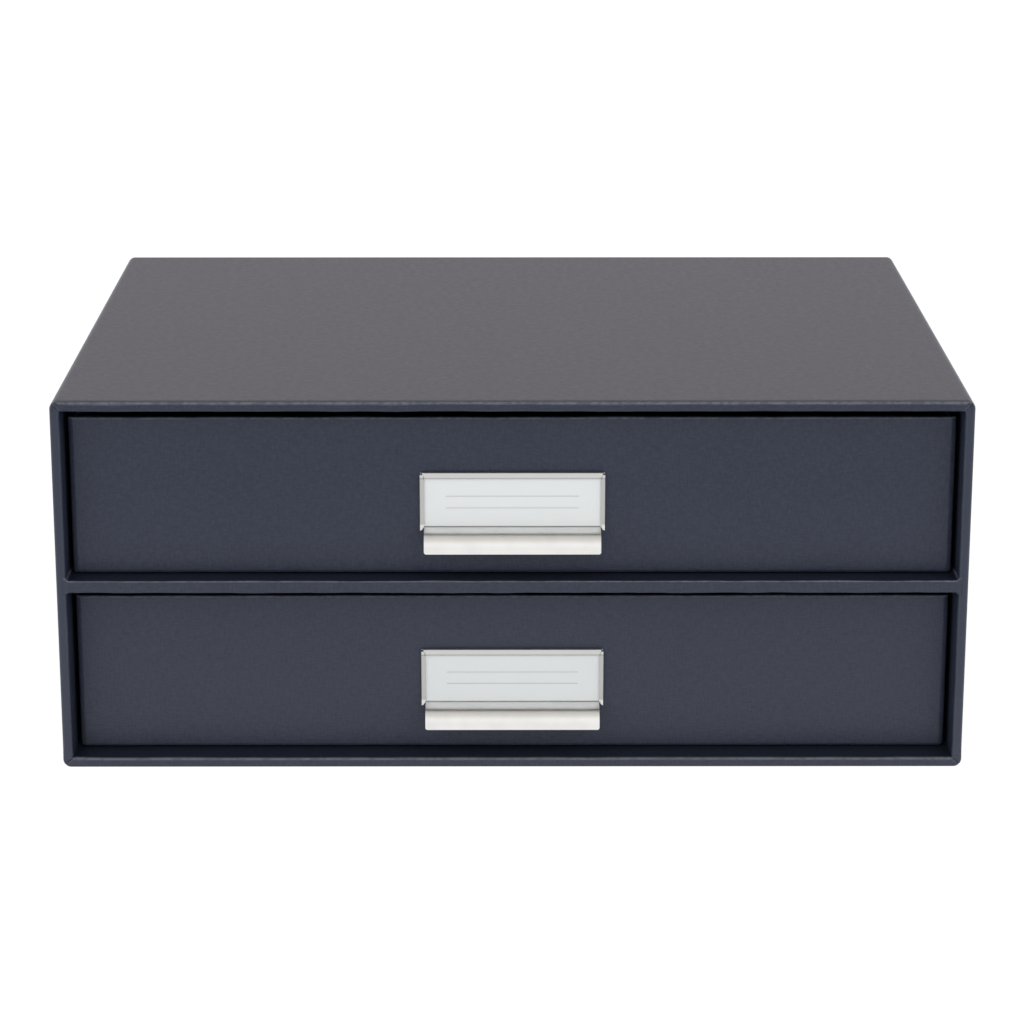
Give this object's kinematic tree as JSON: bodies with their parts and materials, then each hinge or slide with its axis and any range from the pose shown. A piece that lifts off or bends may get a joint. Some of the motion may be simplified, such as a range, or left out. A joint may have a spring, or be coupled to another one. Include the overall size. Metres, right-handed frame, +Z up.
{
  "type": "desktop drawer box",
  "caption": "Desktop letter box of paper-covered fibreboard with stacked sliding drawers, each with a nickel label holder whose lower edge is folded out as a pull.",
  "frame": {"origin": "centre of the case's base, in the plane that it stands on", "axes": "+X to the right seen from the front, +Y to the back, +Z up; the drawers open towards -Y"},
  "size_m": [0.33, 0.2574, 0.1384],
  "materials": {
    "cover_paper": "dark blue-grey embossed covering paper, matt with a faint sheen",
    "lining_paper": "smooth dark grey lining paper",
    "board": "solid grey fibreboard, uncoated",
    "holder_metal": "satin nickel plate on thin sheet steel",
    "rivet_metal": "satin nickel plate",
    "card": "smooth white card"
  },
  "bodies": {
    "case": {"top_board": "board", "bottom_board": "board", "left_side_board": "board", "right_side_board": "board", "back_board": "board", "divider_board": "board", "case_wrap": "cover_paper", "base_paper": "lining_paper", "back_paper": "cover_paper", "divider_wrap": "cover_paper", "upper_bay_lining": "lining_paper", "lower_bay_lining": "lining_paper"},
    "upper_drawer": {"upper_drawer_front_board": "board", "upper_drawer_back_board": "board", "upper_drawer_left_board": "board", "upper_drawer_right_board": "board", "upper_drawer_bottom_board": "board", "upper_drawer_wrap": "cover_paper", "upper_drawer_base_paper": "lining_paper", "upper_drawer_lining": "lining_paper", "upper_label_holder": "holder_metal", "upper_label_card": "card", "upper_holder_rivets": "rivet_metal"},
    "lower_drawer": {"lower_drawer_front_board": "board", "lower_drawer_back_board": "board", "lower_drawer_left_board": "board", "lower_drawer_right_board": "board", "lower_drawer_bottom_board": "board", "lower_drawer_wrap": "cover_paper", "lower_drawer_base_paper": "lining_paper", "lower_drawer_lining": "lining_paper", "lower_label_holder": "holder_metal", "lower_label_card": "card", "lower_holder_rivets": "rivet_metal"}
  },
  "joints": [
    {"name": "upper_drawer_slide", "type": "slide", "parent": "case", "child": "upper_drawer", "axis": [0, -1, 0], "range_m": [-0.0026, 0.2]},
    {"name": "lower_drawer_slide", "type": "slide", "parent": "case", "child": "lower_drawer", "axis": [0, -1, 0], "range_m": [0, 0.2]}
  ]
}
